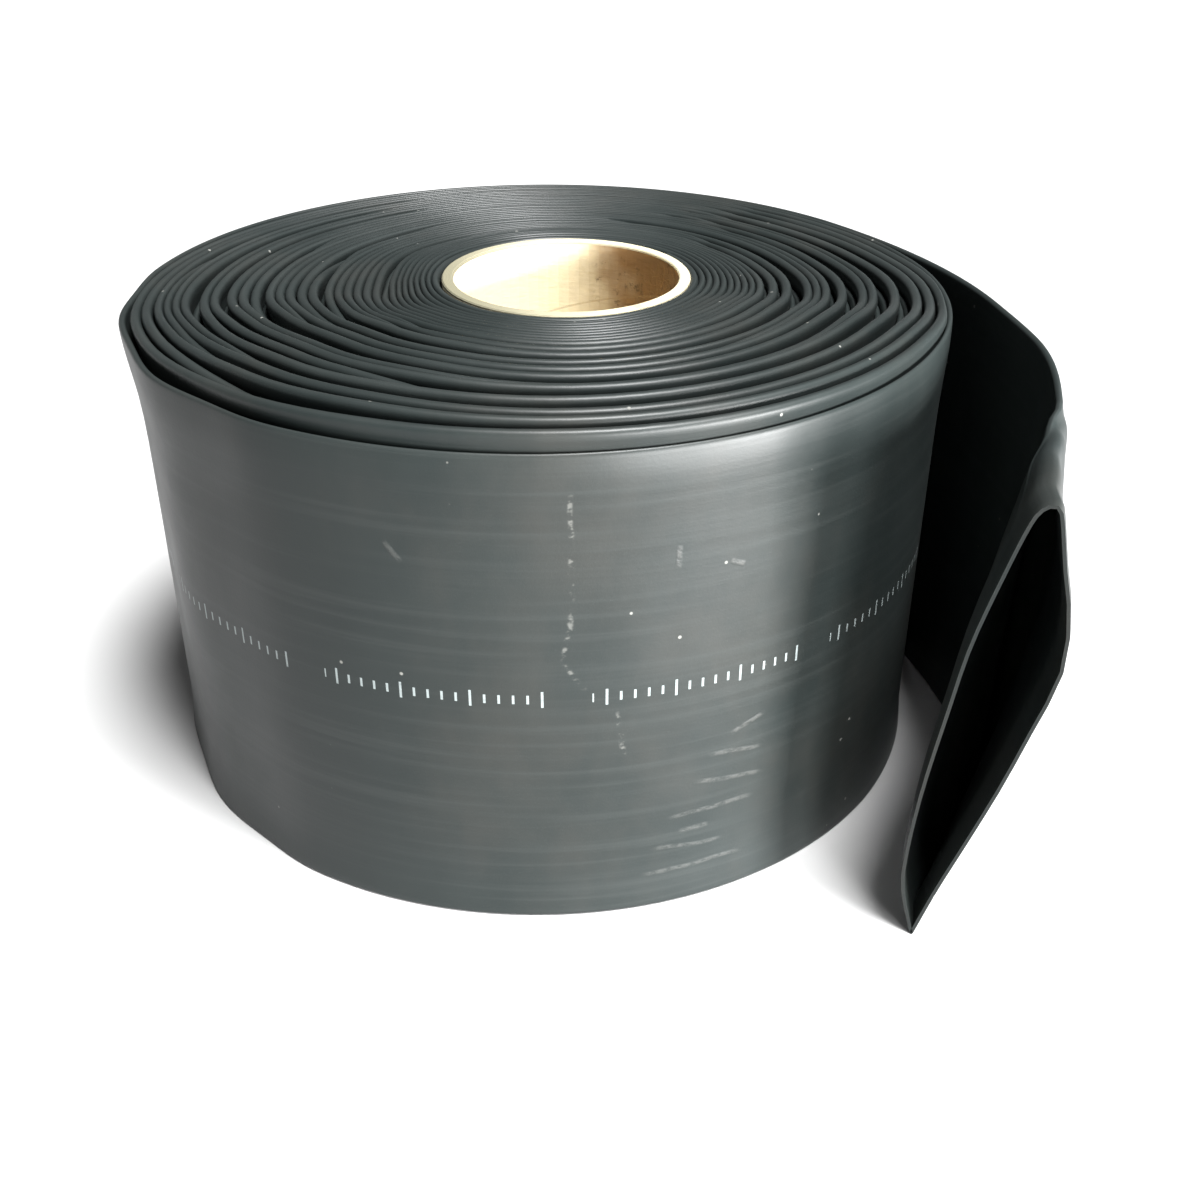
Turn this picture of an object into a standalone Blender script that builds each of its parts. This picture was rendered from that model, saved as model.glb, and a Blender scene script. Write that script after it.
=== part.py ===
"""Roll of flattened heat shrink tube on a cardboard core, standing on its end with the free end open.

Metres, +Z up. The floor is z = 0, the mouth looks along -Y, and the origin is under the middle of the
roll's bounding box.
"""

import math

import bmesh
import bpy
from mathutils import Vector

# The tube as supplied, before it is shrunk
TUBE_BORE = 0.120
TUBE_WALL = 0.0012
LAYER_GAP = 0.0003

# The cardboard core
CORE_OUTER_RADIUS = 0.052
CORE_WALL = 0.0047
CORE_LENGTH = 0.193
CORE_CHAMFER = 0.0005

# The winding: whole turns, the air between two of them, and how far the turns have slid off centre
TURNS = 36
TURN_SLACK = 0.00049
CORE_CLEARANCE = 0.0003
WINDING_DRIFT = Vector((-0.0044, -0.0137, 0.0))
FOLD_DEPTH = 0.0016

# The free end: how deep it starts in the roll, the arc that it follows and how much of it has opened
TAIL_EMBEDMENT = 0.0018
TAIL_ARC_RADIUS = 0.266
TAIL_LENGTH = 0.294
OPENED_LENGTH = 0.140
CAVITY_LENGTH = 0.105
MOUTH_INSET = 0.0150

# The cut end seen square on: across the tube and up from the lower fold, inner wall first.
# The first and the upper point are the two folds.
MOUTH_INNER_WALL = (
    (0.0, 0.0),
    (-0.0062, 0.030),
    (-0.0032, 0.075),
    (0.0025, 0.115),
    (0.0095, 0.152),
    (0.0165, 0.178),
)
MOUTH_UPPER_FOLD = (0.0225, 0.1853)
MOUTH_OUTER_WALL = (
    (0.0272, 0.174),
    (0.0328, 0.150),
    (0.0342, 0.130),
    (0.0272, 0.098),
    (0.0140, 0.050),
)

# How finely round shapes are divided
ROLL_STEPS = 36
CORE_STEPS = 64
WALL_STEPS = 9
TAIL_STATIONS = 26
CURVE_STEPS = 24

# The flattened tube: its thickness, and its width from fold to fold
MIDDLE_PERIMETER = math.pi * (TUBE_BORE + TUBE_WALL)
FLAT_THICKNESS = 2 * TUBE_WALL + LAYER_GAP
FOLD_RADIUS = (TUBE_WALL + LAYER_GAP) / 2
LAY_FLAT_WIDTH = MIDDLE_PERIMETER / 2 - math.pi * FOLD_RADIUS + 2 * FOLD_RADIUS + TUBE_WALL

TURN_PITCH = FLAT_THICKNESS + TURN_SLACK
WINDING_BORE_RADIUS = CORE_OUTER_RADIUS + CORE_CLEARANCE
ROLL_RADIUS = WINDING_BORE_RADIUS + TURNS * TURN_PITCH


def clear_scene():
    for old in list(bpy.data.objects):
        bpy.data.objects.remove(old)


def material(name, colour, roughness, metallic=0.0):
    made = bpy.data.materials.new(name)
    made.use_nodes = True
    shader = made.node_tree.nodes["Principled BSDF"]
    shader.inputs["Base Color"].default_value = (*colour, 1.0)
    shader.inputs["Roughness"].default_value = roughness
    shader.inputs["Metallic"].default_value = metallic
    return made


def add_object(name, shape, finish):
    """Turns a bmesh into a named object, with its faces pointing out and its round faces smooth."""
    bmesh.ops.recalc_face_normals(shape, faces=shape.faces)
    mesh = bpy.data.meshes.new(name)
    shape.to_mesh(mesh)
    shape.free()
    mesh.materials.append(finish)
    mesh.shade_smooth()
    mesh.set_sharp_from_angle(angle=math.radians(35))
    made = bpy.data.objects.new(name, mesh)
    bpy.context.scene.collection.objects.link(made)
    return made


def turned(outline, steps):
    """A closed outline of (radius, height) points, spun a full turn about Z."""
    shape = bmesh.new()
    corners = [shape.verts.new((radius, 0.0, height)) for radius, height in outline]
    edges = [shape.edges.new((a, b)) for a, b in zip(corners, corners[1:] + corners[:1])]
    bmesh.ops.spin(
        shape,
        geom=corners + edges,
        cent=(0.0, 0.0, 0.0),
        axis=(0.0, 0.0, 1.0),
        angle=2 * math.pi,
        steps=steps,
        use_merge=True,
    )
    bmesh.ops.remove_doubles(shape, verts=shape.verts, dist=1e-6)
    return shape


def core():
    """The cardboard tube that the roll is wound on."""
    outer, inner = CORE_OUTER_RADIUS, CORE_OUTER_RADIUS - CORE_WALL
    outline = []
    for radius, inward in ((inner, 1), (outer, -1)):
        side = [(radius, CORE_CHAMFER), (radius + inward * CORE_CHAMFER, 0.0)]
        side += [(radius + inward * CORE_CHAMFER, CORE_LENGTH), (radius, CORE_LENGTH - CORE_CHAMFER)]
        outline.append(side)
    (inner_low, inner_foot, inner_crown, inner_high), (outer_low, outer_foot, outer_crown, outer_high) = outline
    return turned(
        [inner_low, inner_foot, outer_foot, outer_low, outer_high, outer_crown, inner_crown, inner_high],
        CORE_STEPS,
    )


def winding():
    """The wound turns as one ring. Each turn shows on both ends as a ridge, where the tube is folded."""
    rims = []
    for step in range(2 * TURNS + 1):
        radius = WINDING_BORE_RADIUS + step * TURN_PITCH / 2
        between_turns = step % 2 == 0
        rims.append((radius, FOLD_DEPTH if between_turns else 0.0))
    lower_end = rims
    upper_end = [(radius, LAY_FLAT_WIDTH - depth) for radius, depth in reversed(rims)]
    shape = turned(lower_end + upper_end, ROLL_STEPS)
    for vertex in shape.verts:
        radius = math.hypot(vertex.co.x, vertex.co.y)
        share = (radius - WINDING_BORE_RADIUS) / (ROLL_RADIUS - WINDING_BORE_RADIUS)
        vertex.co += WINDING_DRIFT * share
    return shape


def curve_through(points, steps):
    """Points along a smooth curve (Catmull-Rom) that passes through the given ones and stops at the ends."""
    padded = [2 * points[0] - points[1], *points, 2 * points[-1] - points[-2]]
    path = []
    for before, start, end, after in zip(padded, padded[1:], padded[2:], padded[3:]):
        for step in range(steps):
            t = step / steps
            path.append(
                0.5
                * (
                    2 * start
                    + (end - before) * t
                    + (2 * before - 5 * start + 4 * end - after) * t**2
                    + (3 * start - before - 3 * end + after) * t**3
                )
            )
    path.append(points[-1].copy())
    return path


def distances_along(path):
    run = [0.0]
    for a, b in zip(path, path[1:]):
        run.append(run[-1] + (b - a).length)
    return run


def point_at(path, run, distance):
    for a, b, start, end in zip(path, path[1:], run, run[1:]):
        if distance <= end:
            return a.lerp(b, (distance - start) / (end - start))
    return path[-1].copy()


def stops_round_the_wall():
    """Distances round half the tube's wall, from fold to fold, closer together at the folds."""
    quarter_fold = math.pi * FOLD_RADIUS / 2
    flat = MIDDLE_PERIMETER / 2 - 2 * quarter_fold
    return [0.0] + [quarter_fold + flat * step / WALL_STEPS for step in range(WALL_STEPS + 1)]


def flat_section():
    """The middle of the wall of the flattened tube: up the inner side from the lower fold, and down the outer."""
    low = TUBE_WALL / 2
    top = LAY_FLAT_WIDTH - TUBE_WALL / 2
    quarter_fold = math.pi * FOLD_RADIUS / 2
    heights = [low] + [low + FOLD_RADIUS + stop - quarter_fold for stop in stops_round_the_wall()[1:]]
    inner = [Vector((0.0, low))] + [Vector((-FOLD_RADIUS, height)) for height in heights[1:]]
    outer = [Vector((0.0, top))] + [Vector((FOLD_RADIUS, height)) for height in reversed(heights[1:])]
    return inner + outer


def mouth_section():
    """The middle of the wall at the cut end, with as many points as the flat section."""
    inner = [Vector(point) for point in (*MOUTH_INNER_WALL, MOUTH_UPPER_FOLD)]
    outer = [Vector(point) for point in (MOUTH_UPPER_FOLD, *MOUTH_OUTER_WALL, MOUTH_INNER_WALL[0])]
    path = curve_through(inner, CURVE_STEPS)[:-1] + curve_through(outer, CURVE_STEPS)
    run = distances_along(path)
    scale = MIDDLE_PERIMETER / run[-1]
    stops = stops_round_the_wall()
    rising = [point_at(path, run, stop / scale) for stop in stops]
    falling = [point_at(path, run, (MIDDLE_PERIMETER / 2 + stop) / scale) for stop in stops]
    shift = Vector((-MOUTH_INSET, TUBE_WALL / 2))
    return [point * scale + shift for point in rising + falling]


def offset(section, distance):
    """The section moved along its own normals, outwards where the distance is positive."""
    count = len(section)
    moved = []
    for index, point in enumerate(section):
        along = section[(index + 1) % count] - section[index - 1]
        normal = Vector((-along.y, along.x)).normalized()
        moved.append(point + normal * distance)
    return moved


def tail_place(distance):
    """Where the tail's line is, this far along it, and the level direction across it, away from the roll."""
    contact_angle = TAIL_LENGTH / TAIL_ARC_RADIUS
    contact = Vector((math.cos(contact_angle), math.sin(contact_angle), 0.0))
    start = WINDING_DRIFT + contact * (ROLL_RADIUS - TAIL_EMBEDMENT)
    arc_centre = start - contact * TAIL_ARC_RADIUS
    angle = contact_angle - distance / TAIL_ARC_RADIUS
    across = Vector((math.cos(angle), math.sin(angle), 0.0))
    return arc_centre + across * TAIL_ARC_RADIUS, across


def opened_share(distance):
    """How far the tube has opened there, from 0, flat, to 1, as at the mouth."""
    share = (distance - (TAIL_LENGTH - OPENED_LENGTH)) / OPENED_LENGTH
    share = min(1.0, max(0.0, share))
    return share * share * (3 - 2 * share)


def tail_ring(shape, distance, wall_side):
    """One ring of corners round the tail, on its outer surface (+1) or on the surface of its bore (-1)."""
    share = opened_share(distance)
    section = [a.lerp(b, share) for a, b in zip(flat_section(), mouth_section())]
    place, across = tail_place(distance)
    surface = offset(section, wall_side * TUBE_WALL / 2)
    return [shape.verts.new(place + across * point.x + Vector((0.0, 0.0, point.y))) for point in surface]


def skin(shape, ring, next_ring):
    for index in range(len(ring)):
        shape.faces.new((ring[index - 1], ring[index], next_ring[index], next_ring[index - 1]))


def tail():
    """The free end of the tube: flat where it leaves the roll, hollow and open at the mouth."""
    shape = bmesh.new()
    stations = [TAIL_LENGTH * step / TAIL_STATIONS for step in range(TAIL_STATIONS + 1)]
    outside = [tail_ring(shape, distance, 1) for distance in stations]
    deepest = TAIL_LENGTH - CAVITY_LENGTH
    inside = [tail_ring(shape, distance, -1) for distance in stations if distance >= deepest]
    for rings in (outside, inside):
        for ring, next_ring in zip(rings, rings[1:]):
            skin(shape, ring, next_ring)
    skin(shape, outside[-1], inside[-1])
    shape.faces.new(outside[0])
    shape.faces.new(inside[0])
    return shape


def join_to(whole, piece):
    """Fuses a piece to an object with a Boolean, and keeps the piece itself out of sight."""
    piece.hide_render = True
    piece.display_type = "WIRE"
    union = whole.modifiers.new("joined", "BOOLEAN")
    union.operation = "UNION"
    union.object = piece


def centre_on_floor(objects):
    """Moves everything so that the origin is under the middle of the bounding box."""
    corners = [corner.co for made in objects for corner in made.data.vertices]
    low, high = (Vector(tuple(pick(co[axis] for co in corners) for axis in range(3))) for pick in (min, max))
    middle = (low + high) / 2
    for made in objects:
        made.location = (-middle.x, -middle.y, -low.z)


def main():
    clear_scene()
    black_tube = material("black_polyolefin", (0.045, 0.053, 0.052), 0.42)
    brown_board = material("core_board", (0.80, 0.68, 0.45), 0.85)
    core_tube = add_object("cardboard_core", core(), brown_board)
    wound_tube = add_object("heat_shrink_tube", winding(), black_tube)
    free_end = add_object("free_end", tail(), black_tube)
    join_to(wound_tube, free_end)
    centre_on_floor([core_tube, wound_tube, free_end])


main()
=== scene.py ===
"""Looks of the roll of heat shrink tube: its winding turn by turn, its open end and its cardboard core."""

import math

import bmesh
import bpy
from mathutils import Matrix, Vector, noise

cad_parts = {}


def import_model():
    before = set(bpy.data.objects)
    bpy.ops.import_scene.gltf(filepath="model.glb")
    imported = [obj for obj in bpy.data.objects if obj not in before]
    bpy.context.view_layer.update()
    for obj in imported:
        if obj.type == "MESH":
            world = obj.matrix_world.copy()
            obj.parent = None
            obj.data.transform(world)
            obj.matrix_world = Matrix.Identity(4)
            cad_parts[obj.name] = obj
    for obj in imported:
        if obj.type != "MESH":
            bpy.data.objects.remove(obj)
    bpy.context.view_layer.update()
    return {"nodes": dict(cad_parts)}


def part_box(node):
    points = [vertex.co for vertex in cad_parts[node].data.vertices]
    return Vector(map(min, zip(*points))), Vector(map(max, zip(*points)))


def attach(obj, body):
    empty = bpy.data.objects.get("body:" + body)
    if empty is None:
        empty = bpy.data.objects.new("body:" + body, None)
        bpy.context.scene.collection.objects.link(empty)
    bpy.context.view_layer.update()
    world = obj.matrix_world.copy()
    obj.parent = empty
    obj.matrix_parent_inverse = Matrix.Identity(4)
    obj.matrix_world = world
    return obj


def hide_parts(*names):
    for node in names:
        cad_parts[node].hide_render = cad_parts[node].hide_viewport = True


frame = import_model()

# The tube, as in the solid model
TUBE_BORE = 0.120
TUBE_WALL = 0.0012
LAYER_GAP = 0.0003
MIDDLE_PERIMETER = math.pi * (TUBE_BORE + TUBE_WALL)
FLAT_THICKNESS = 2 * TUBE_WALL + LAYER_GAP
FOLD_RADIUS = (TUBE_WALL + LAYER_GAP) / 2
QUARTER_FOLD = math.pi * FOLD_RADIUS / 2

# The winding, as in the solid model
TURNS = 36
ROLL_RADIUS = 0.1671
WINDING_DRIFT = Vector((-0.0044, -0.0137))

# The free end, as in the solid model
TAIL_ARC_RADIUS = 0.266
TAIL_LENGTH = 0.294
MOUTH_INSET = 0.0150
MOUTH_UPPER_FOLD = (0.0229, 0.1853)

# The mouth's outline, up the inner wall from the lower fold and down the outer wall from the upper fold
MOUTH_INNER_WALL = (
    (0.0, 0.0),
    (-0.0050, 0.0164),
    (-0.0063, 0.0300),
    (-0.0041, 0.0642),
    (0.0008, 0.1028),
    (0.0046, 0.1295),
    (0.0111, 0.1576),
    (0.0164, 0.1773),
    (0.0196, 0.1835),
)
MOUTH_OUTER_WALL = (
    (0.0251, 0.1824),
    (0.0290, 0.1650),
    (0.0330, 0.1488),
    (0.0343, 0.1330),
    (0.0328, 0.1205),
    (0.0277, 0.1001),
    (0.0221, 0.0776),
    (0.0142, 0.0502),
    (0.0064, 0.0241),
)

# The free end opens over this length, later and faster than in the solid, and this share of it is hollow
OPENED_LENGTH = 0.130
HOLLOW_SHARE = 0.92
# The crease of the flat tube's upper fold runs down the inner wall of the opened end: how far it is from the
# top of the mouth, measured round the wall, and the shares of that where the wall has more corners
CREASE_TO_MOUTH_TOP = 0.020
CLOSE_STOPS = (0.56, 0.80, 0.92, 1.14, 1.28)
# How far outside its arc the free end really runs, by the distance before the mouth
TAIL_SWAY = (
    (0.0, 0.0020),
    (0.018, -0.0020),
    (0.045, -0.0020),
    (0.070, 0.0026),
    (0.084, 0.0064),
    (0.100, 0.0066),
    (0.170, 0.0028),
    (0.294, 0.0),
)

# Where the tail leaves the roll, from +X, and the same place in degrees as the photograph sees it, where 0 is
# to the right and 90 is behind. Every angle in degrees below is seen that way.
CONTACT_ANGLE = TAIL_LENGTH / TAIL_ARC_RADIUS
CONTACT_SEEN_AT = 34
VIEW_TURN = CONTACT_ANGLE - math.radians(CONTACT_SEEN_AT)

# The photograph's camera: its place from the core's foot, and its directions, before the turn above
CAMERA_PLACE = Vector((0.0, -0.574, 0.375))
CAMERA_YAW = math.radians(1.47)
CAMERA_PITCH = math.radians(30.7)
CAMERA_ROLL = math.radians(0.26)
CAMERA_LENS = 42.0
SENSOR = 36.0

CORE_LOW, CORE_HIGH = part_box("cardboard_core")
TUBE_LOW, TUBE_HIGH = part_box("heat_shrink_tube")
AXIS = Vector(((CORE_LOW.x + CORE_HIGH.x) / 2, (CORE_LOW.y + CORE_HIGH.y) / 2))
CORE_FOOT = Vector((*AXIS, 0.0))
CORE_RADIUS = (CORE_HIGH.x - CORE_LOW.x) / 2
FLAT_WIDTH = TUBE_HIGH.z - TUBE_LOW.z

# From the core's outside to the middle of the innermost turn
CORE_CLEARANCE = 0.0016
INNERMOST_RADIUS = CORE_RADIUS + CORE_CLEARANCE

# Half the thickness of a turn where it's pressed flat, and the most that its folds swell to
PRESSED_HALF = 0.00122
SWOLLEN_HALF = 0.0021
# A fold takes this share of the room up to the next fold that stands as high. A neighbour starts to count
# when its fold is this far below, and counts in full when it's this much higher than that. The last of so
# many neighbours always counts, and where the roll ends there is this much room.
ROOM_SHARE = 0.49
COUNTS_FROM_BELOW = 0.0050
COUNTS_FULLY_OVER = 0.0030
NEIGHBOURS = 3
OPEN_ROOM = 4 * SWOLLEN_HALF
# The side of a wound turn: its share of the pressed half thickness, its share of the fold's swelling, and how
# far it is above the turn's foot or below its top. The bead on top of it is this high.
SIDE_ABOVE_FOOT = ((0.7, 0.0, 0.0004), (1.0, 0.0, 0.004))
SIDE_BELOW_TOP = ((1.0, 0.0, 0.020), (1.0, 0.0, 0.0085), (1.0, 0.45, 0.0056), (1.0, 0.9, 0.0038))
BEAD_HEIGHT = 0.0022

# The turns are counted inwards from the outermost, 0. They aren't spaced evenly: at each of these angles, the
# radius of some of them in millimetres, with the others evenly between. An empty list is an even spacing.
TURN_RADII = (
    (45, ()),
    (95, ()),
    (145, ((1, 163.2), (9, 137.5), (19, 103.0))),
    (
        183,
        (
            (1, 173.4),
            (2, 169.3),
            (3, 165.1),
            (6, 155.6),
            (8, 147.5),
            (9, 144.3),
            (11, 137.4),
            (13, 127.8),
            (15, 122.2),
            (17, 114.0),
            (19, 104.6),
            (21, 98.2),
            (26, 78.6),
            (28, 71.6),
        ),
    ),
    (
        216,
        (
            (1, 173.4),
            (3, 162.3),
            (5, 153.8),
            (8, 145.0),
            (9, 138.0),
            (11, 130.5),
            (15, 116.4),
            (19, 103.4),
        ),
    ),
    (275, ((1, 170.7),)),
    (318, ((1, 159.7),)),
    (
        355,
        (
            (1, 153.2),
            (5, 143.3),
            (8, 135.1),
            (11, 126.3),
            (12, 122.4),
            (15, 114.0),
            (17, 107.6),
            (19, 100.4),
            (22, 91.6),
            (26, 80.7),
        ),
    ),
)
# Turns whose upper fold has sunk between its neighbours: turn, from and to which angle, and how deep. A fold
# takes this many degrees to sink.
SUNKEN_TURNS = (
    (2, 224, 402, 0.0060),
    (4, 216, 400, 0.0060),
    (6, 228, 405, 0.0070),
    (4, 132, 166, 0.0035),
    (7, 168, 400, 0.0065),
    (7, 136, 158, 0.0030),
    (9, 252, 405, 0.0060),
    (10, 136, 410, 0.0085),
    (12, 258, 325, 0.0012),
    (13, 195, 405, 0.0060),
    (14, 165, 412, 0.0080),
    (16, 213, 395, 0.0060),
    (18, 208, 300, 0.0025),
    (19, 138, 168, 0.0030),
    (20, 172, 425, 0.0075),
    (21, 203, 420, 0.0060),
    (23, 232, 395, 0.0045),
    (25, 235, 392, 0.0045),
    (27, 136, 194, 0.0030),
)
SINKING_SPREAD = 34
# How far the turns stand above the flat tube's width at the front, by turn, and how much of that there is at
# each angle. A place at the front is this much more than its turn's number.
FRONT_RISE = (
    (0, 0.0003),
    (1, 0.0076),
    (3, 0.0088),
    (8, 0.0086),
    (12, 0.0083),
    (15, 0.0070),
    (19, 0.0064),
    (24, 0.0052),
    (30, 0.0037),
    (36, 0.0022),
)
RISE_SHARES = (
    (15, 0.0),
    (185, 0.0),
    (205, 0.35),
    (228, 0.8),
    (250, 1.0),
    (325, 0.9),
    (350, 0.25),
    (375, 0.0),
)
FRONT_PLACE = 0.65
# The innermost turns stand this high all the way round: the rise starts so many turns from the core and is
# whole after this many
CORE_SIDE_RISE = 0.0022
CORE_SIDE_TURNS = 10
CORE_SIDE_SPAN = 8

# How far a turn's middle line and its upper edge wander, how fast, and where in the noise that's read. The
# edge wanders in full from this place on.
PATH_WANDER = 0.0004
PATH_WANDER_RATE = 9.7
PATH_WANDER_SEED = 7.3
EDGE_WANDER = 0.0004
EDGE_WANDER_RATE = 6.1
EDGE_WANDER_SEED = 4.1
EDGE_WANDER_FROM = 0.8

# How the roll's upper rim leans out over its side: about which angle, over how many degrees, and how far. How
# far down that starts, and how many turns in it reaches. The outermost turn also leans out at its foot.
RIM_LEANS = ((188, 42, 0.0040), (352, 26, 0.0022), (270, 60, 0.0008))
RIM_LEAN_HEIGHT = 0.024
RIM_LEAN_TURNS = 14
FOOT_LEAN = 0.0014
FOOT_LEAN_HEIGHT = 0.012
# The leans come in over this share of the first turn, because the free end has none of them
LEANS_FROM = 0.12
# The outermost turn's upper edge is a round shoulder at the front: how far it draws in, over which height,
# and how much of that there is at each angle
SHOULDER_DEPTH = 0.0014
SHOULDER_HEIGHT = 0.0130
SHOULDER_SHARES = ((200, 0.0), (250, 1.0), (325, 1.0), (350, 0.2))
# The outermost turn lies in shallow facets at the left: how deep they are, how far apart, where one stands
# out most, and how much of that there is at each angle
FACET_DEPTH = 0.0008
FACET_PITCH = 22.0
FACET_RIDGE = 216.0
FACET_SHARES = ((168, 0.0), (188, 1.0), (226, 1.0), (246, 0.0))

# Marks on the outermost turn's outer wall, each from one angle and height to another, and half their width:
# scuffs and scratches, and a broken line of dust
SCUFFS = (
    ((289.9, 0.0717), (295.4, 0.0781)),
    ((287.1, 0.0657), (295.5, 0.0630)),
    ((285.5, 0.0546), (295.9, 0.0500)),
    ((281.9, 0.0402), (294.6, 0.0406)),
    ((280.0, 0.0262), (290.2, 0.0242)),
    ((278.4, 0.0144), (293.4, 0.0154)),
    ((283.5, 0.0325), (288.0, 0.0335)),
    ((250.6, 0.1590), (252.3, 0.1504)),
    ((282.7, 0.1563), (282.1, 0.1457)),
    ((288.9, 0.1462), (291.2, 0.1430)),
)
SCUFF_HALF_WIDTH = 0.0014
DUST_LINE = (
    ((270.7, 0.1821), (270.6, 0.1351)),
    ((270.6, 0.1351), (269.6, 0.1122)),
    ((269.6, 0.1130), (272.1, 0.1014)),
    ((275.9, 0.0930), (276.6, 0.0710)),
)
DUST_HALF_WIDTH = 0.0013
# A mark fades over this share of its length at each end, and from this share of its half width outwards
MARK_END = 0.2
MARK_SOLID = 0.2

# The printed line, as plain measuring marks: how high up it is, how often a group of marks comes and how long
# a group is, and the marks' spacing, width and half heights
PRINT_HEIGHT = 0.0995
GROUP_REPEAT = 0.0974
GROUP_LENGTH = 0.0805
TICK_PITCH = 0.005
TICK_WIDTH = 0.0009
TICK_HALF = 0.0018
TALL_TICK_HALF = 0.0033
TICKS_PER_TALL = 5
# Added to the UV on the inside of the tube, so that no mark is on it
INSIDE_UV = 1.0

# The tube's colours and how strongly each of them shows
DARK_BLACK = (0.008, 0.0112, 0.0110, 1)
LIGHT_BLACK = (0.014, 0.0180, 0.0175, 1)
HAZE_COLOUR = (0.027, 0.026, 0.023, 1)
HAZE_SHARE = 0.5
DRAWN_COLOUR = (0.026, 0.030, 0.029, 1)
DRAWN_SHARE = 0.35
SCUFF_COLOUR = (0.10, 0.10, 0.095, 1)
SCUFF_SHARE = 0.25
DUST_COLOUR = (0.26, 0.26, 0.24, 1)
DUST_LINE_SHARE = 0.38
DUST_SHARE = 0.55
PRINT_COLOUR = (0.22, 0.25, 0.25, 1)
PRINT_SHARE = 0.85
# Its gloss: the shader's specular level, the roughness where it's smooth and where it's dull, and what dust
# adds to that
TUBE_SPECULAR = 0.27
SMOOTH_ROUGHNESS = 0.40
DULL_ROUGHNESS = 0.47
DUST_ROUGHNESS = 0.3
# Its patterns: the scale, detail and roughness of each noise, and how it's stretched. The drawn streaks and
# the wear are stretched along the tube and round it.
MOTTLE = (22.0, 4.0, 0.6)
HAZE = (9.0, 5.0, 0.65)
HAZE_STRETCH = (1, 1, 0.6)
DRAWN = (1.0, 3.0, 0.6)
DRAWN_STRETCH = (6.0, 260.0, 1.0)
WORN = (1.0, 2.0, 0.6)
WORN_STRETCH = (300.0, 420.0, 1.0)
FINE = (900.0, 2.0, 0.6)
# Between which values of its noise a pattern comes in, and for scuffs and print how much shows before and
# after
MOTTLE_RANGE = (0.3, 0.7)
PATCHY_RANGE = (0.45, 0.75)
SCUFF_WEAR = (0.30, 0.62, 0.25, 1.0)
DUST_WEAR = (0.48, 0.66)
PRINT_WEAR = (0.25, 0.45, 0.55, 1.0)
# How finely and how far the marks bend
BEND_SCALE = 45.0
MOST_BEND = (0.004, 0.004, 0.0)
# The specks of dust: their noise's scale, which of its cells have one, and their size in it
SPECK_SCALE = 95.0
SPECK_CELLS = 0.70
SPECK_SOLID = 0.04
SPECK_REACH = 0.08
# What the drawn streaks, the fine grain and the scuffs add to the bump, and the bump's settings
DRAWN_RELIEF = 0.5
FINE_RELIEF = 0.25
SCUFF_RELIEF = 1.2
TUBE_BUMP = {"Strength": 0.18, "Distance": 0.0006}

# The core's colours
DARK_BOARD = (0.80, 0.70, 0.46, 1)
LIGHT_BOARD = (0.92, 0.84, 0.62, 1)
# A brown stain, darkened further as painted shade of the bore's shaded side
BROWN_STAIN_AND_SHADE = (0.23, 0.125, 0.045, 1)
MOULD_COLOUR = (0.06, 0.035, 0.012, 1)
MOULD_SHARE = 0.75
SEAM_COLOUR = (0.30, 0.20, 0.09, 1)
SEAM_SHARE = 0.35
# Painted shade on the rim, which also darkens the grooves between its layers
RIM_SHADE_AND_GROOVE_COLOUR = (0.10, 0.095, 0.06, 1)
# Its fibres, blotches and mould: the scale, detail and roughness of each noise, and the fibres' stretch
FIBRES = (180.0, 4.0, 0.6)
FIBRE_STRETCH = (1, 1, 4)
BLOTCHES = (26.0, 4.0, 0.6)
MOULD = (120.0, 5.0, 0.7)
# The angle that its stained side lies at, a side that is also painted darker for the shade on it, and how far
# the blotches push the edge of the stain and painted shade
STAINED_AND_SHADED_SIDE = 15
BLOTCH_PUSH = 0.9
# Between which values the brown stain and painted shade come in, and between which of the mould's noise and
# of that stain and shade the mould does
STAIN_AND_SHADE_RANGE = (0.55, 1.35)
MOULD_RANGE = (0.56, 0.68)
MOULD_STAIN_AND_SHADE_RANGE = (0.35, 0.8)
# The width of its wound strip, and where on it and how wide the seam is, as shares of that
STRIP_WIDTH = 0.075
SEAM_PLACE = 0.5
SEAM_HALF = 0.006
# How deep the rim is, the thickness of its layers, the share of one that is a groove, and how dark that is.
# The rim's painted shade, deepest on the side away from the stain: from and to where, and from and to how
# much.
RIM_DEPTH = 0.0012
LAYER_PITCH = 0.0006
LAYER_GROOVE = 0.4
GROOVE_SHARE = 0.5
RIM_PAINTED_SHADE = (-1.0, 0.3, 0.93, 0.5)
BOARD_ROUGHNESS = 0.85
SEAM_RELIEF = 0.8
BOARD_BUMP = {"Strength": 0.3, "Distance": 0.0005}

FLOOR_SIZE = 60.0
FLOOR_COLOUR = (0.32, 0.32, 0.32, 1)
FLOOR_ROUGHNESS = 0.8

# The windows: the angle that each shines from, how far away it is, its width, its height and its power. They
# stand this far above the floor.
WINDOWS = (
    (297, 1.3, 0.28, 0.40, 22.0),
    (319, 1.3, 0.34, 0.40, 68.0),
)
WINDOW_SILL = 0.01
# The soft light from above: its angle and its height in degrees, its spread in degrees, and its strength. Its
# lamp stands this far away, which makes no difference to its light.
CEILING = (319, 71, 20, 12.6)
CEILING_AWAY = 2.0
# The world is white where the camera sees it, and lights the roll only this much
WORLD_COLOUR = (1, 1, 1, 1)
WORLD_BRIGHTNESS = 0.2

# How finely the mesh is divided
SAMPLES_PER_TURN = 360
MOST_STATIONS = 104
LEAST_STATIONS = 64
OUTER_STEP = 0.0050
WALL_STEPS = 24
FOLD_STEPS = 3
BEAD_STEPS = 8
CURVE_STEPS = 24
# The winding's rings end this close to the tail's contact, and a ring's direction is taken this far each way,
# both in turns. An edge sharper than this many degrees is shaded sharp.
LAST_PLACE = 0.0005
DIRECTION_REACH = 0.003
SHARP_EDGE = 60


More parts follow.
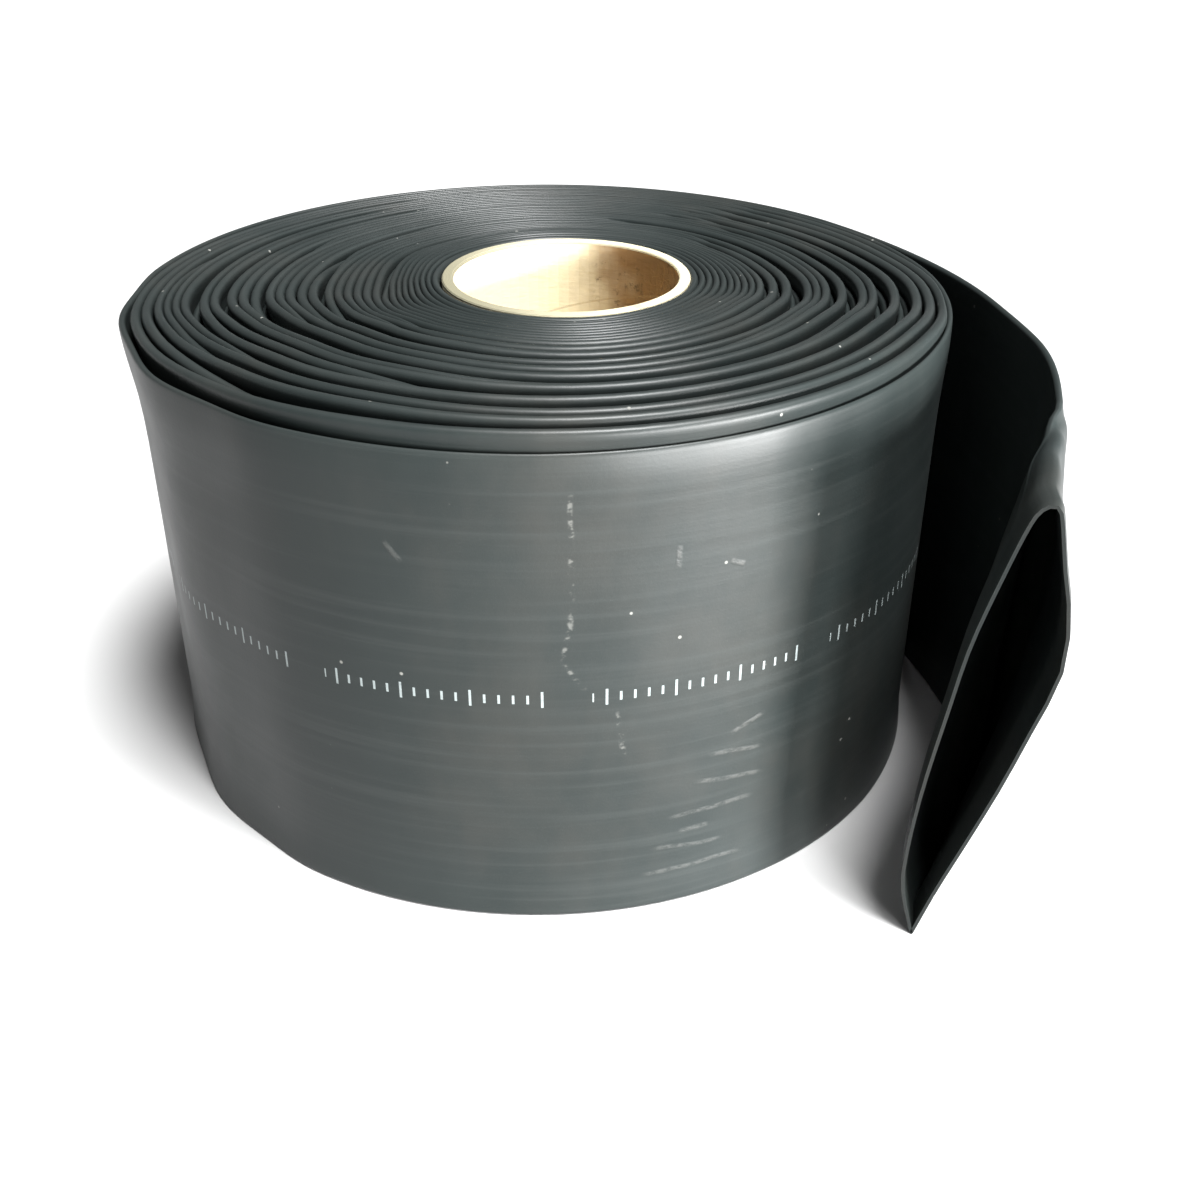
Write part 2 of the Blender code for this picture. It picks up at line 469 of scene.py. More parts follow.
def place_at(turn, degrees):
    """A place on the winding, in turns inwards from where the tail leaves, from a turn and an angle."""
    return turn + (degrees - CONTACT_SEEN_AT) / 360


def seen_at(place):
    """The angle of a place on the winding, in degrees from 34 to 394."""
    return CONTACT_SEEN_AT + 360 * (place % 1.0)


def bump(value, centre, spread):
    """A smooth hump of height 1 about a centre."""
    return math.exp(-(((value - centre) / spread) ** 2))


def smooth_step(share):
    share = min(1.0, max(0.0, share))
    return share * share * (3 - 2 * share)


def plain(share):
    return share


def between(knots, where, ease=plain):
    """The value at a place on a line of (place, value) knots, level beyond its ends."""
    if where <= knots[0][0]:
        return knots[0][1]
    for (start, a), (end, b) in zip(knots, knots[1:]):
        if where <= end:
            return a + (b - a) * ease((where - start) / (end - start))
    return knots[-1][1]


def link(made):
    bpy.context.scene.collection.objects.link(made)
    return made


def outermost_radius(degrees):
    """From the core's axis to the middle of the outermost turn, which lies in a circle that's off centre."""
    drift = WINDING_DRIFT.length
    off = math.radians(degrees) + VIEW_TURN - math.atan2(WINDING_DRIFT.y, WINDING_DRIFT.x)
    outside = drift * math.cos(off) + math.sqrt(ROLL_RADIUS**2 - (drift * math.sin(off)) ** 2)
    return outside - FLAT_THICKNESS / 2


def spacing_lines():
    """For each angle of TURN_RADII, how far out the winding is by place, from 0 at the core to 1 outside."""
    lines = []
    for degrees, measured in TURN_RADII:
        room = outermost_radius(degrees) - INNERMOST_RADIUS
        knots = [(place_at(0, degrees), 1.0)]
        for turn, radius in measured:
            knots.append((place_at(turn, degrees), (radius / 1000 - INNERMOST_RADIUS) / room))
        lines.append((degrees, knots + [(TURNS, 0.0)]))
    return lines


def winding_radii():
    """The radius of the middle of the flattened tube, from the tail's contact inwards, at equal steps."""
    lines = spacing_lines()
    first, last = lines[0][0], lines[-1][0]
    around = [(last - 360, lines[-1][1]), *lines, (first + 360, lines[0][1])]
    radii = []
    for index in range(TURNS * SAMPLES_PER_TURN + 1):
        place = index / SAMPLES_PER_TURN
        degrees = seen_at(place)
        shares = [(line, between(knots, place + (line - degrees) / 360)) for line, knots in around]
        reach = outermost_radius(degrees) - INNERMOST_RADIUS
        wander = noise.noise(Vector((place * PATH_WANDER_RATE, 0.0, PATH_WANDER_SEED))) * smooth_step(place)
        radii.append(INNERMOST_RADIUS + between(shares, degrees, smooth_step) * reach + PATH_WANDER * wander)
    # From the core outwards, each turn clears the one inside it
    for index in range(len(radii) - 1 - SAMPLES_PER_TURN, -1, -1):
        radii[index] = max(radii[index], radii[index + SAMPLES_PER_TURN] + 2 * PRESSED_HALF)
    return radii


def radius_at(radii, place):
    exact = min(max(place, 0.0), TURNS) * SAMPLES_PER_TURN
    index = min(int(exact), len(radii) - 2)
    return radii[index] + (radii[index + 1] - radii[index]) * (exact - index)


def fold_height(place):
    """How far a turn's upper fold stands above or below the flat tube's width, at a place on the winding."""
    degrees = seen_at(place)
    if degrees >= RISE_SHARES[-1][0]:
        degrees -= 360
    rise = between(RISE_SHARES, degrees, smooth_step) * between(FRONT_RISE, place - FRONT_PLACE)
    near_core = smooth_step((place - TURNS + CORE_SIDE_TURNS) / CORE_SIDE_SPAN)
    rise = max(rise, CORE_SIDE_RISE * near_core)
    wander = noise.noise(Vector((place * EDGE_WANDER_RATE, EDGE_WANDER_SEED, 0.0)))
    wander *= EDGE_WANDER * smooth_step(place / EDGE_WANDER_FROM)
    sunk = 0.0
    spread = SINKING_SPREAD / 360
    for turn, start, end, depth in SUNKEN_TURNS:
        first, last = place_at(turn, start), place_at(turn, end)
        if first - spread < place < last + spread:
            begun = smooth_step((place - first) / spread + 0.5)
            unfinished = smooth_step((last - place) / spread + 0.5)
            sunk += depth * begun * unfinished
    return rise + wander - sunk


def curve_through(points, steps):
    """Points along a smooth curve (Catmull-Rom) that passes through the given ones and stops at the ends."""
    padded = [2 * points[0] - points[1], *points, 2 * points[-1] - points[-2]]
    path = []
    for before, start, end, after in zip(padded, padded[1:], padded[2:], padded[3:]):
        for step in range(steps):
            t = step / steps
            point = 2 * start + (end - before) * t
            point += (2 * before - 5 * start + 4 * end - after) * t**2
            point += (3 * start - before - 3 * end + after) * t**3
            path.append(0.5 * point)
    path.append(points[-1].copy())
    return path


def distances_along(path):
    run = [0.0]
    for a, b in zip(path, path[1:]):
        run.append(run[-1] + (b - a).length)
    return run


def point_at(path, run, distance):
    for a, b, start, end in zip(path, path[1:], run, run[1:]):
        if distance <= end:
            return a.lerp(b, (distance - start) / (end - start))
    return path[-1].copy()


def stops_round_the_wall(more=()):
    """Distances round half the tube's wall, from fold to fold, closer together at the folds."""
    flat = MIDDLE_PERIMETER / 2 - 2 * QUARTER_FOLD
    fold = [QUARTER_FOLD * step / FOLD_STEPS for step in range(FOLD_STEPS)]
    turns = [math.pi * step / WALL_STEPS for step in range(WALL_STEPS + 1)]
    wall = [QUARTER_FOLD + flat * (1 - math.cos(turn)) / 2 for turn in turns]
    return sorted([*fold, *wall, *(MIDDLE_PERIMETER / 2 - stop for stop in fold[1:]), *more])


def outer_stops():
    return stops_round_the_wall([CREASE_TO_MOUTH_TOP * share for share in CLOSE_STOPS])


def flat_side(stops):
    """The middle of the flattened tube's outer wall at these distances up from the lower fold."""
    low = TUBE_WALL / 2
    side = []
    for stop in stops:
        from_end = min(stop, MIDDLE_PERIMETER / 2 - stop)
        if from_end < QUARTER_FOLD:
            turn = from_end / FOLD_RADIUS
            out, up = FOLD_RADIUS * math.sin(turn), FOLD_RADIUS * (1 - math.cos(turn))
        else:
            out, up = FOLD_RADIUS, FOLD_RADIUS + from_end - QUARTER_FOLD
        side.append(Vector((out, low + up if stop < MIDDLE_PERIMETER / 4 else FLAT_WIDTH - low - up)))
    return side


def flat_section():
    """The middle of the flattened tube's wall: up the inner side from the lower fold, and down the outer."""
    inner = [Vector((-point.x, point.y)) for point in flat_side(stops_round_the_wall())]
    outer = [Vector((point.x, FLAT_WIDTH - point.y)) for point in flat_side(outer_stops())]
    return inner + outer


def mouth_section():
    """The middle of the wall at the cut end, with as many points as the flat section."""
    inner = [Vector(point) for point in (*MOUTH_INNER_WALL, MOUTH_UPPER_FOLD)]
    outer = [Vector(point) for point in (MOUTH_UPPER_FOLD, *MOUTH_OUTER_WALL, MOUTH_INNER_WALL[0])]
    path = curve_through(inner, CURVE_STEPS)[:-1] + curve_through(outer, CURVE_STEPS)
    run = distances_along(path)
    scale = MIDDLE_PERIMETER / run[-1]
    half = MIDDLE_PERIMETER / 2
    to_crease = half - CREASE_TO_MOUTH_TOP
    stops = [stop * to_crease / half for stop in stops_round_the_wall()]
    stops += [to_crease + stop * (half + CREASE_TO_MOUTH_TOP) / half for stop in outer_stops()]
    shift = Vector((-MOUTH_INSET, TUBE_WALL / 2))
    return [point_at(path, run, stop / scale) * scale + shift for stop in stops]


def offset(section, distance):
    """The section moved along its own normals, outwards where the distance is positive."""
    count = len(section)
    moved = []
    for index, point in enumerate(section):
        along = section[(index + 1) % count] - section[index - 1]
        normal = Vector((-along.y, along.x)).normalized()
        moved.append(point + normal * distance)
    return moved


def rim_lean(place, height, top):
    """How far in from its rim the roll's side lies, at a place on the winding and a height."""
    degrees = seen_at(place)
    lean = 0.0
    for centre, spread, most in RIM_LEANS:
        off = (degrees - centre + 180) % 360 - 180
        lean = max(lean, most * bump(off, 0, spread))
    reach = smooth_step(place / LEANS_FROM) * max(0.0, 1.0 - place / RIM_LEAN_TURNS)
    return lean * reach * (bump(height, top, RIM_LEAN_HEIGHT) - 1.0)


def wound_section(place, inner_half, outer_half):
    """The outside of a wound turn, which swells at its upper fold: up the inner side from the lower fold."""
    top = FLAT_WIDTH + fold_height(place)
    low = max(0.0, top - FLAT_WIDTH)
    side = [(flat, swell, low + up) for flat, swell, up in SIDE_ABOVE_FOOT]
    side += [(flat, swell, top - down) for flat, swell, down in SIDE_BELOW_TOP]
    inner, outer, bead = [], [], []
    for flat, swell, height in side:
        inner.append((-(flat * PRESSED_HALF + swell * (inner_half - PRESSED_HALF)), height))
        outer.append((flat * PRESSED_HALF + swell * (outer_half - PRESSED_HALF), height))
    for step in range(BEAD_STEPS + 1):
        turn = math.pi * step / BEAD_STEPS
        half = inner_half if turn < math.pi / 2 else outer_half
        bead.append((-half * math.cos(turn), top - BEAD_HEIGHT * (1 - math.sin(turn))))
    section = [Vector(point) for point in inner + bead + outer[::-1] + [(0.0, low)]]
    return [Vector((point.x + rim_lean(place, point.y, top), point.y)) for point in section]


def outermost_section(place):
    """The outside of the outermost turn, with its shoulder and with its rim and foot leaning out."""
    top = FLAT_WIDTH + fold_height(place)
    half = FLAT_THICKNESS / 2
    degrees = seen_at(place)
    drawn_in = SHOULDER_DEPTH * between(SHOULDER_SHARES, degrees, smooth_step)
    facets = FACET_DEPTH * between(FACET_SHARES, degrees, smooth_step)
    facets *= math.cos(math.tau * (degrees - FACET_RIDGE) / FACET_PITCH)
    section = []
    for point in offset(flat_section(), TUBE_WALL / 2):
        height = point.y * top / FLAT_WIDTH
        foot = FOOT_LEAN * bump(height, 0.0, FOOT_LEAN_HEIGHT) * smooth_step(place / LEANS_FROM)
        up = min(1.0, max(0.0, (height - top + SHOULDER_HEIGHT) / SHOULDER_HEIGHT))
        shoulder = drawn_in * up**2 * (point.x + half) / (2 * half)
        shift = rim_lean(place, height, top) + foot + facets - shoulder
        section.append(Vector((point.x + shift, height)))
    return section


def fold_halves(place, radii):
    """How far a turn's upper fold swells inwards and outwards, into its share of the room there."""
    top = fold_height(place)
    here = radius_at(radii, place)
    halves = []
    for side in (1, -1):
        room = 0.0
        free = 1.0
        for turns in range(1, NEIGHBOURS + 1):
            neighbour = place + side * turns
            away = abs(here - radius_at(radii, neighbour)) if 0 <= neighbour <= TURNS else OPEN_ROOM
            counts = 1.0
            if turns < NEIGHBOURS:
                above = fold_height(neighbour) - top
                counts = smooth_step((above + COUNTS_FROM_BELOW) / COUNTS_FULLY_OVER)
            room += free * counts * away
            free *= 1 - counts
        halves.append(min(SWOLLEN_HALF, max(PRESSED_HALF, room * ROOM_SHARE)))
    return halves


class Tube:
    """Collects rings of corners along the tube and skins them.

    The UV is the distance along the tube from where the tail leaves the roll, less than 0 on the roll, and
    the distance round it, up the outer wall from the lower fold.
    """

    def __init__(self):
        self.shape = bmesh.new()
        self.uv = self.shape.loops.layers.uv.new("along_and_round")
        self.contact = 0.0

    def ring(self, place, across, section, distance, first_round=0.0):
        corners = [self.shape.verts.new((*(place + across * point.x), point.y)) for point in section]
        run = distances_along([*section, section[0]])
        return corners, [first_round + run[-1] - covered for covered in run], distance

    def skin(self, ring, next_ring):
        """Faces between two rings, which may have different numbers of corners."""
        corners, rounds, distance = ring
        next_corners, next_rounds, next_distance = next_ring
        count, next_count = len(corners), len(next_corners)
        a = b = 0
        while a < count or b < next_count:
            step_a = step_b = True
            if count != next_count:
                covered = 1 - rounds[min(a + 1, count)] / rounds[0]
                next_covered = 1 - next_rounds[min(b + 1, next_count)] / next_rounds[0]
                step_a = a < count and (b >= next_count or covered <= next_covered)
                step_b = not step_a
            face = [(corners[a % count], distance, rounds[a])]
            if step_a:
                face.append((corners[(a + 1) % count], distance, rounds[a + 1]))
            if step_b:
                face.append((next_corners[(b + 1) % next_count], next_distance, next_rounds[b + 1]))
            face.append((next_corners[b % next_count], next_distance, next_rounds[b]))
            made = self.shape.faces.new([corner for corner, _, _ in face])
            for loop, (_, along, around) in zip(made.loops, face):
                loop[self.uv].uv = (along - self.contact, around)
            a += step_a
            b += step_b


def tail_place(distance):
    """Where the tail's line is, this far along it from the contact, and the level direction across it."""
    contact = Vector((math.cos(CONTACT_ANGLE), math.sin(CONTACT_ANGLE)))
    start = AXIS + WINDING_DRIFT + contact * (ROLL_RADIUS - FLAT_THICKNESS / 2)
    arc_centre = start - contact * TAIL_ARC_RADIUS
    angle = CONTACT_ANGLE - distance / TAIL_ARC_RADIUS
    across = Vector((math.cos(angle), math.sin(angle)))
    sway = between(TAIL_SWAY, TAIL_LENGTH - distance, smooth_step)
    return arc_centre + across * (TAIL_ARC_RADIUS + sway), across


def opened_share(distance):
    """How far the tube has opened there, from 0, flat, to 1, as at the mouth."""
    return smooth_step((distance - (TAIL_LENGTH - OPENED_LENGTH)) / OPENED_LENGTH)


def tail_section(distance):
    share = opened_share(distance)
    return [a.lerp(b, share) for a, b in zip(flat_section(), mouth_section())]


def wound_tube():
    """The whole tube, from its end at the core, round every turn, to the open mouth."""
    tube = Tube()
    radii = winding_radii()

    def path_point(place):
        angle = CONTACT_ANGLE + math.tau * place
        return AXIS + Vector((math.cos(angle), math.sin(angle))) * radius_at(radii, place)

    rings = []
    place, distance = float(TURNS), 0.0
    while place > LAST_PLACE:
        along = path_point(place - DIRECTION_REACH) - path_point(place + DIRECTION_REACH)
        along.normalize()
        across = Vector((-along.y, along.x))
        if across.dot(path_point(place) - AXIS) < 0:
            across = -across
        if place > 1.0:
            section = wound_section(place, *fold_halves(place, radii))
            size = (radius_at(radii, place) - INNERMOST_RADIUS) / (ROLL_RADIUS - INNERMOST_RADIUS)
            step = 1 / (LEAST_STATIONS + (MOST_STATIONS - LEAST_STATIONS) * size)
        else:
            section = outermost_section(place)
            step = OUTER_STEP / (math.tau * radius_at(radii, place))
        rings.append(tube.ring(path_point(place), across, section, distance))
        next_place = max(0.0, place - step)
        distance += (path_point(next_place) - path_point(place)).length
        place = next_place
    tube.contact = distance
    tail_stations = round(TAIL_LENGTH / OUTER_STEP)
    inner_rings = []
    for step in range(tail_stations + 1):
        along_tail = TAIL_LENGTH * step / tail_stations
        place, across = tail_place(along_tail)
        section = tail_section(along_tail)
        so_far = distance + along_tail
        rings.append(tube.ring(place, across, offset(section, TUBE_WALL / 2), so_far))
        if along_tail > TAIL_LENGTH - OPENED_LENGTH * HOLLOW_SHARE:
            inside = offset(section, -TUBE_WALL / 2)
            inner_rings.append(tube.ring(place, across, inside, so_far, INSIDE_UV))
    for ring, next_ring in zip(rings, rings[1:]):
        tube.skin(ring, next_ring)
    for ring, next_ring in zip(inner_rings, inner_rings[1:]):
        tube.skin(ring, next_ring)
    tube.skin(rings[-1], inner_rings[-1])
    tube.shape.faces.new(rings[0][0])
    tube.shape.faces.new(inner_rings[0][0])
    bmesh.ops.recalc_face_normals(tube.shape, faces=tube.shape.faces)
    mesh = bpy.data.meshes.new("wound_tube")
    tube.shape.to_mesh(mesh)
    tube.shape.free()
    mesh.shade_smooth()
    mesh.set_sharp_from_angle(angle=math.radians(SHARP_EDGE))
    return link(bpy.data.objects.new("wound_tube", mesh))


class Nodes:
    """Short names for making the nodes of one material."""

    def __init__(self, name):
        self.made = bpy.data.materials.new(name)
        self.made.use_nodes = True
        self.tree = self.made.node_tree
        self.shader = self.tree.nodes["Principled BSDF"]

    def add(self, kind, inputs=(), **settings):
        node = self.tree.nodes.new(kind)
        for name, value in settings.items():
            setattr(node, name, value)
        for socket, value in dict(inputs).items():
            self.set(node.inputs[socket], value)
        return node

    def set(self, socket, value):
        if isinstance(value, bpy.types.NodeSocket):
            self.tree.links.new(value, socket)
        else:
            socket.default_value = value

    def math(self, operation, a, b=0.0, clamp=False):
        node = self.add("ShaderNodeMath", {0: a, 1: b}, operation=operation)
        node.use_clamp = clamp
        return node.outputs[0]

    def noise(self, vector, scale, detail=3.0, roughness=0.5):
        inputs = {"Vector": vector, "Scale": scale, "Detail": detail, "Roughness": roughness}
        return self.add("ShaderNodeTexNoise", inputs).outputs["Fac"]

    def ramp(self, value, low, high, to_low=0.0, to_high=1.0):
        inputs = {"Value": value, "From Min": low, "From Max": high, "To Min": to_low, "To Max": to_high}
        return self.add("ShaderNodeMapRange", inputs, interpolation_type="SMOOTHSTEP").outputs["Result"]

    def mix(self, share, a, b):
        node = self.add("ShaderNodeMix", data_type="RGBA")
        self.set(node.inputs["Factor"], share)
        self.set(node.inputs["A"], a)
        self.set(node.inputs["B"], b)
        return node.outputs["Result"]

    def stretched(self, vector, scale):
        return self.add("ShaderNodeMapping", {"Vector": vector, "Scale": scale}).outputs["Vector"]

    def vector_math(self, operation, a, b, output="Vector"):
        return self.add("ShaderNodeVectorMath", {0: a, 1: b}, operation=operation).outputs[output]

    def parts(self, vector):
        return self.add("ShaderNodeSeparateXYZ", {"Vector": vector}).outputs

    def near(self, value, centre, reach):
        """1 where the value is within reach of the centre, 0 elsewhere."""
        away = self.math("ABSOLUTE", self.math("SUBTRACT", value, centre))
        return self.math("LESS_THAN", away, reach)

    def position_in(self, value, period):
        """How far the value is into a stretch that repeats with this period."""
        return self.math("MULTIPLY", self.math("FRACT", self.math("DIVIDE", value, period)), period)


def wall_uv(degrees, height):
    """The UV of a place on the outermost turn's outer wall, counting the way round the lower fold."""
    whole = int(degrees)
    radii = sum(outermost_radius(angle) for angle in range(CONTACT_SEEN_AT, whole))
    radii += (degrees - whole) * outermost_radius(whole)
    return Vector((-math.radians(1) * radii, height + (math.pi / 2 - 1) * FLAT_THICKNESS / 2, 0.0))


def marks(n, uv, lines, half_width):
    """The strongest of some thin straight marks on the outer wall, which fade towards ends and sides."""
    strongest = 0.0
    for start, end in lines:
        first = wall_uv(*start)
        reach = wall_uv(*end) - first
        side = Vector((-reach.y, reach.x, 0.0)).normalized() / half_width
        away = n.vector_math("SUBTRACT", uv, first)
        along = n.vector_math("DOT_PRODUCT", away, reach / reach.length_squared, "Value")
        across = n.math("ABSOLUTE", n.vector_math("DOT_PRODUCT", away, side, "Value"))
        ends = n.math("MULTIPLY", n.ramp(along, 0.0, MARK_END), n.ramp(along, 1.0 - MARK_END, 1.0, 1.0, 0.0))
        mark = n.math("MULTIPLY", n.ramp(across, MARK_SOLID, 1.0, 1.0, 0.0), ends)
        strongest = n.math("MAXIMUM", mark, strongest)
    return strongest


def measuring_marks(n, along, around):
    """Groups of short and tall ticks in a line along the outer wall."""
    in_group = n.position_in(along, GROUP_REPEAT)
    printed = n.math("LESS_THAN", in_group, GROUP_LENGTH)
    ticks = n.math("LESS_THAN", n.position_in(in_group, TICK_PITCH), TICK_WIDTH)
    tall = n.math("LESS_THAN", n.position_in(in_group, TICK_PITCH * TICKS_PER_TALL), TICK_WIDTH)
    ticks = n.math("MULTIPLY", ticks, n.near(around, PRINT_HEIGHT, TICK_HALF))
    tall = n.math("MULTIPLY", tall, n.near(around, PRINT_HEIGHT, TALL_TICK_HALF))
    return n.math("MULTIPLY", printed, n.math("MAXIMUM", ticks, tall))


def dust_specks(n, place):
    cells = n.add("ShaderNodeTexVoronoi", {"Vector": place, "Scale": SPECK_SCALE}).outputs
    chosen = n.math("GREATER_THAN", n.parts(cells["Color"])["X"], SPECK_CELLS)
    return n.math("MULTIPLY", chosen, n.ramp(cells["Distance"], SPECK_SOLID, SPECK_REACH, 1.0, 0.0))


def bent_uv(n, uv):
    """The tube's UV, bent a little, so that the marks aren't straight."""
    bend = n.add("ShaderNodeTexNoise", {"Vector": uv, "Scale": BEND_SCALE, "Detail": 1.0}).outputs["Color"]
    bend = n.vector_math("MULTIPLY", n.vector_math("SUBTRACT", bend, (0.5, 0.5, 0.5)), MOST_BEND)
    return n.vector_math("ADD", uv, bend)


def tube_material():
    n = Nodes("black_polyolefin")
    uv = n.add("ShaderNodeTexCoord").outputs["UV"]
    place = n.add("ShaderNodeTexCoord").outputs["Object"]
    along, around, _ = n.parts(uv)
    mottle = n.noise(place, *MOTTLE)
    haze = n.noise(n.stretched(place, HAZE_STRETCH), *HAZE)
    drawn = n.noise(n.stretched(uv, DRAWN_STRETCH), *DRAWN)
    worn = n.noise(n.stretched(uv, WORN_STRETCH), *WORN)
    bent = bent_uv(n, uv)
    colour = n.mix(mottle, DARK_BLACK, LIGHT_BLACK)
    colour = n.mix(n.ramp(haze, *PATCHY_RANGE, 0.0, HAZE_SHARE), colour, HAZE_COLOUR)
    colour = n.mix(n.ramp(drawn, *PATCHY_RANGE, 0.0, DRAWN_SHARE), colour, DRAWN_COLOUR)
    scuffs = marks(n, bent, SCUFFS, SCUFF_HALF_WIDTH)
    scuffs = n.math("MULTIPLY", scuffs, n.ramp(worn, *SCUFF_WEAR))
    colour = n.mix(n.math("MULTIPLY", scuffs, SCUFF_SHARE), colour, SCUFF_COLOUR)
    dust = n.math("MULTIPLY", marks(n, bent, DUST_LINE, DUST_HALF_WIDTH), n.ramp(worn, *DUST_WEAR))
    dust = n.math("MAXIMUM", n.math("MULTIPLY", dust, DUST_LINE_SHARE), dust_specks(n, place))
    colour = n.mix(n.math("MULTIPLY", dust, DUST_SHARE), colour, DUST_COLOUR)
    printed = n.math("MULTIPLY", measuring_marks(n, along, around), n.ramp(worn, *PRINT_WEAR))
    colour = n.mix(n.math("MULTIPLY", printed, PRINT_SHARE), colour, PRINT_COLOUR)
    n.set(n.shader.inputs["Base Color"], colour)
    n.set(n.shader.inputs["Specular IOR Level"], TUBE_SPECULAR)
    roughness = n.ramp(mottle, *MOTTLE_RANGE, SMOOTH_ROUGHNESS, DULL_ROUGHNESS)
    roughness = n.math("ADD", roughness, n.math("MULTIPLY", dust, DUST_ROUGHNESS))
    n.set(n.shader.inputs["Roughness"], roughness)
    fine = n.noise(place, *FINE)
    height = n.math("ADD", n.math("MULTIPLY", drawn, DRAWN_RELIEF), n.math("MULTIPLY", fine, FINE_RELIEF))
    height = n.math("ADD", height, n.math("MULTIPLY", scuffs, SCUFF_RELIEF))
    bumped = n.add("ShaderNodeBump", {"Height": height, **TUBE_BUMP})
    n.set(n.shader.inputs["Normal"], bumped.outputs["Normal"])
    return n.made


def core_material():
    n = Nodes("core_board")
    place = n.add("ShaderNodeTexCoord").outputs["Object"]
    from_axis = n.vector_math("SUBTRACT", place, CORE_FOOT)
    x, y, z = n.parts(from_axis)
    angle = math.radians(STAINED_AND_SHADED_SIDE) + VIEW_TURN
    towards = (math.cos(angle) / CORE_RADIUS, math.sin(angle) / CORE_RADIUS, 0.0)
    side = n.vector_math("DOT_PRODUCT", from_axis, towards, "Value")
    fibres = n.noise(n.stretched(place, FIBRE_STRETCH), *FIBRES)
    blotches = n.noise(place, *BLOTCHES)
    mould = n.noise(place, *MOULD)
    rim = n.math("GREATER_THAN", z, CORE_HIGH.z - RIM_DEPTH)
    inside = n.math("SUBTRACT", 1.0, rim)
    colour = n.mix(fibres, DARK_BOARD, LIGHT_BOARD)
    # The brown stain on one side of the bore, which is also painted shade of that side
    browned_and_shaded = n.ramp(n.math("ADD", side, n.math("MULTIPLY", blotches, BLOTCH_PUSH)), *STAIN_AND_SHADE_RANGE)
    colour = n.mix(n.math("MULTIPLY", browned_and_shaded, inside), colour, BROWN_STAIN_AND_SHADE)
    spots = n.math("MULTIPLY", n.ramp(mould, *MOULD_RANGE), n.ramp(browned_and_shaded, *MOULD_STAIN_AND_SHADE_RANGE))
    spots = n.math("MULTIPLY", spots, n.math("MULTIPLY", inside, MOULD_SHARE))
    colour = n.mix(spots, colour, MOULD_COLOUR)
    turned = n.math("DIVIDE", n.math("ARCTAN2", y, x), math.tau)
    wound = n.math("ADD", n.math("DIVIDE", z, STRIP_WIDTH), turned)
    seam = n.near(n.position_in(wound, 1.0), SEAM_PLACE, SEAM_HALF)
    colour = n.mix(n.math("MULTIPLY", seam, SEAM_SHARE), colour, SEAM_COLOUR)
    radius = n.math("SQRT", n.math("ADD", n.math("MULTIPLY", x, x), n.math("MULTIPLY", y, y)))
    layers = n.position_in(radius, LAYER_PITCH)
    layers = n.ramp(layers, 0.0, LAYER_PITCH * LAYER_GROOVE, GROOVE_SHARE, 0.0)
    # Painted shade on the rim, deepest away from the stained side, and darker lines in the grooves between
    # its layers
    rim_shade_and_grooves = n.math("ADD", n.ramp(side, *RIM_PAINTED_SHADE), layers, clamp=True)
    colour = n.mix(n.math("MULTIPLY", rim, rim_shade_and_grooves), colour, RIM_SHADE_AND_GROOVE_COLOUR)
    n.set(n.shader.inputs["Base Color"], colour)
    n.set(n.shader.inputs["Roughness"], BOARD_ROUGHNESS)
    height = n.math("SUBTRACT", fibres, n.math("MULTIPLY", seam, SEAM_RELIEF))
    bumped = n.add("ShaderNodeBump", {"Height": height, **BOARD_BUMP})
    n.set(n.shader.inputs["Normal"], bumped.outputs["Normal"])
    return n.made


def floor_material():
    n = Nodes("white_floor")
    n.set(n.shader.inputs["Base Color"], FLOOR_COLOUR)
    n.set(n.shader.inputs["Roughness"], FLOOR_ROUGHNESS)
    return n.made


def floor():
    bpy.ops.mesh.primitive_plane_add(size=FLOOR_SIZE, location=(0.0, 0.0, 0.0))
    made = bpy.context.object
    made.name = "floor"
    made.data.materials.append(floor_material())


def shine(lamp, degrees, height, away, lift):
    """Puts a lamp at an angle and height in degrees from the core's foot, lifted, shining back that way."""
    angle = math.radians(degrees) + VIEW_TURN
    up = math.radians(height)
    towards = Vector((math.cos(angle) * math.cos(up), math.sin(angle) * math.cos(up), math.sin(up)))
    made = link(bpy.data.objects.new(lamp.name, lamp))
    made.location = CORE_FOOT + towards * away + Vector((0, 0, lift))
    made.rotation_euler = towards.to_track_quat("Z", "Y").to_euler()
    made.visible_camera = False


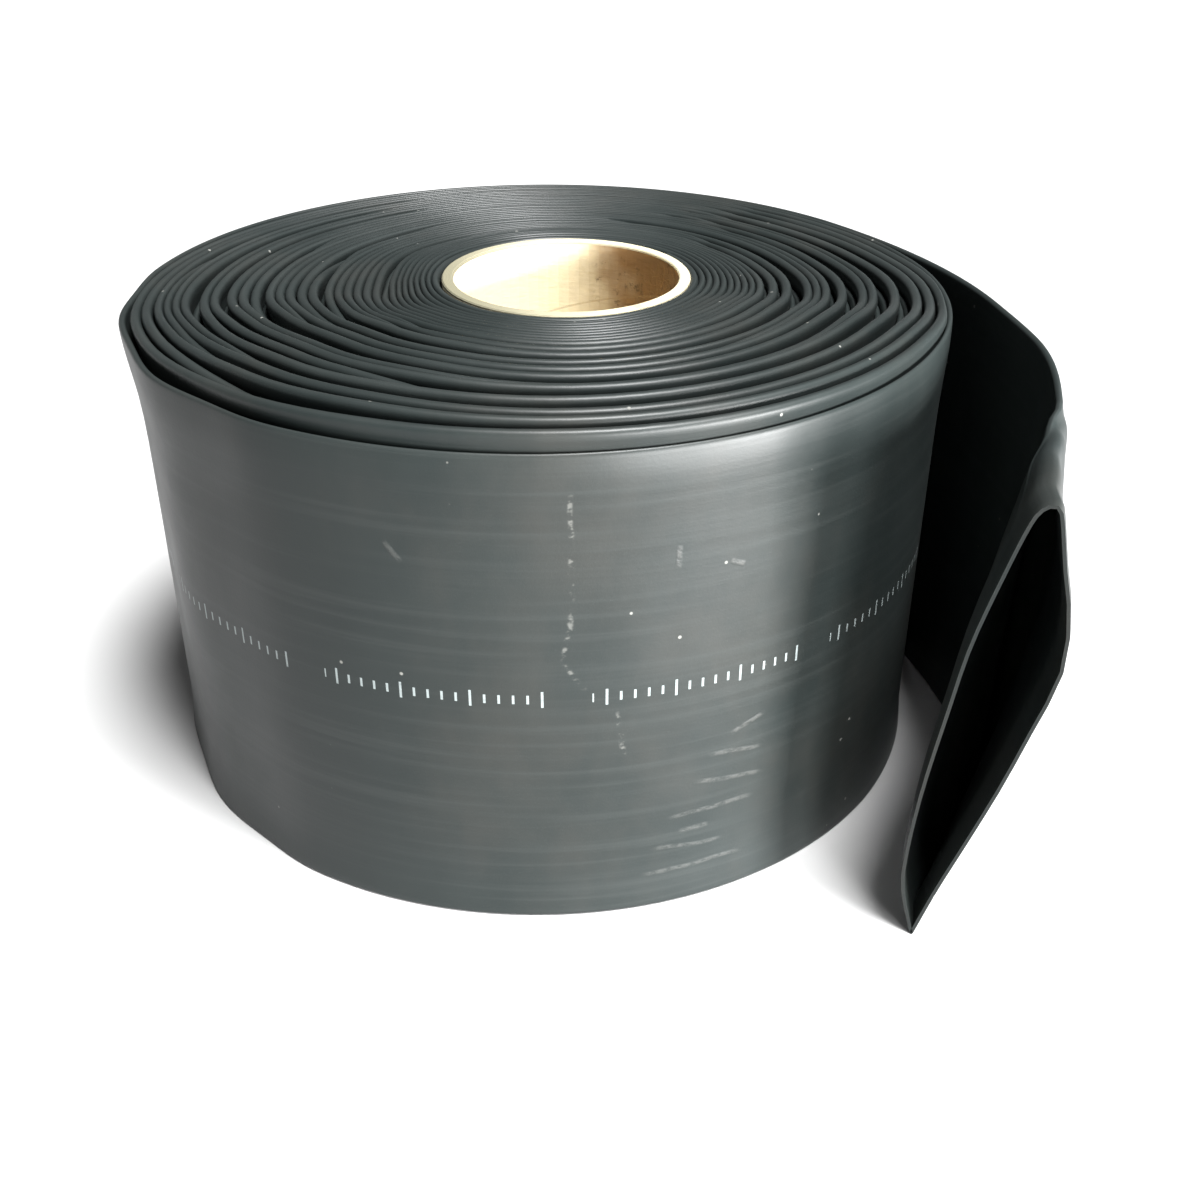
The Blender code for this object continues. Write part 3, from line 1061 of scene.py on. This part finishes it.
def lights():
    for degrees, away, width, height, power in WINDOWS:
        window = bpy.data.lights.new("window", "AREA")
        window.shape = "RECTANGLE"
        window.size = width
        window.size_y = height
        window.energy = power
        shine(window, degrees, 0, away, height / 2 + WINDOW_SILL)
    degrees, height, spread, strength = CEILING
    ceiling = bpy.data.lights.new("ceiling", "SUN")
    ceiling.angle = math.radians(spread)
    ceiling.energy = strength
    shine(ceiling, degrees, height, CEILING_AWAY, 0.0)


def world():
    made = bpy.data.worlds.new("studio")
    bpy.context.scene.world = made
    made.use_nodes = True
    tree = made.node_tree
    seen = tree.nodes.new("ShaderNodeLightPath").outputs["Is Camera Ray"]
    strength = tree.nodes.new("ShaderNodeMath")
    strength.operation = "MAXIMUM"
    strength.inputs[1].default_value = WORLD_BRIGHTNESS
    tree.links.new(seen, strength.inputs[0])
    tree.nodes["Background"].inputs["Color"].default_value = WORLD_COLOUR
    tree.links.new(strength.outputs[0], tree.nodes["Background"].inputs["Strength"])


def camera():
    turn = Matrix.Rotation(VIEW_TURN, 3, "Z")
    level = math.cos(CAMERA_PITCH)
    forward = Vector((math.sin(CAMERA_YAW) * level, math.cos(CAMERA_YAW) * level, -math.sin(CAMERA_PITCH)))
    right = forward.cross(Vector((0, 0, 1))).normalized()
    up = right.cross(forward)
    tilted_right = right * math.cos(CAMERA_ROLL) + up * math.sin(CAMERA_ROLL)
    tilted_up = up * math.cos(CAMERA_ROLL) - right * math.sin(CAMERA_ROLL)
    axes = Matrix((turn @ tilted_right, turn @ tilted_up, turn @ -forward)).transposed()
    data = bpy.data.cameras.new("photo_camera")
    data.lens = CAMERA_LENS
    data.sensor_width = SENSOR
    made = link(bpy.data.objects.new("photo_camera", data))
    made.matrix_world = Matrix.Translation(turn @ CAMERA_PLACE + CORE_FOOT) @ axes.to_4x4()
    bpy.context.scene.camera = made


def main():
    bpy.context.scene.view_settings.view_transform = "Standard"
    camera()
    lights()
    world()
    floor()
    tube = wound_tube()
    tube.data.materials.append(tube_material())
    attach(tube, "root")
    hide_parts("heat_shrink_tube")
    core = frame["nodes"]["cardboard_core"]
    core.data.materials.clear()
    core.data.materials.append(core_material())


main()
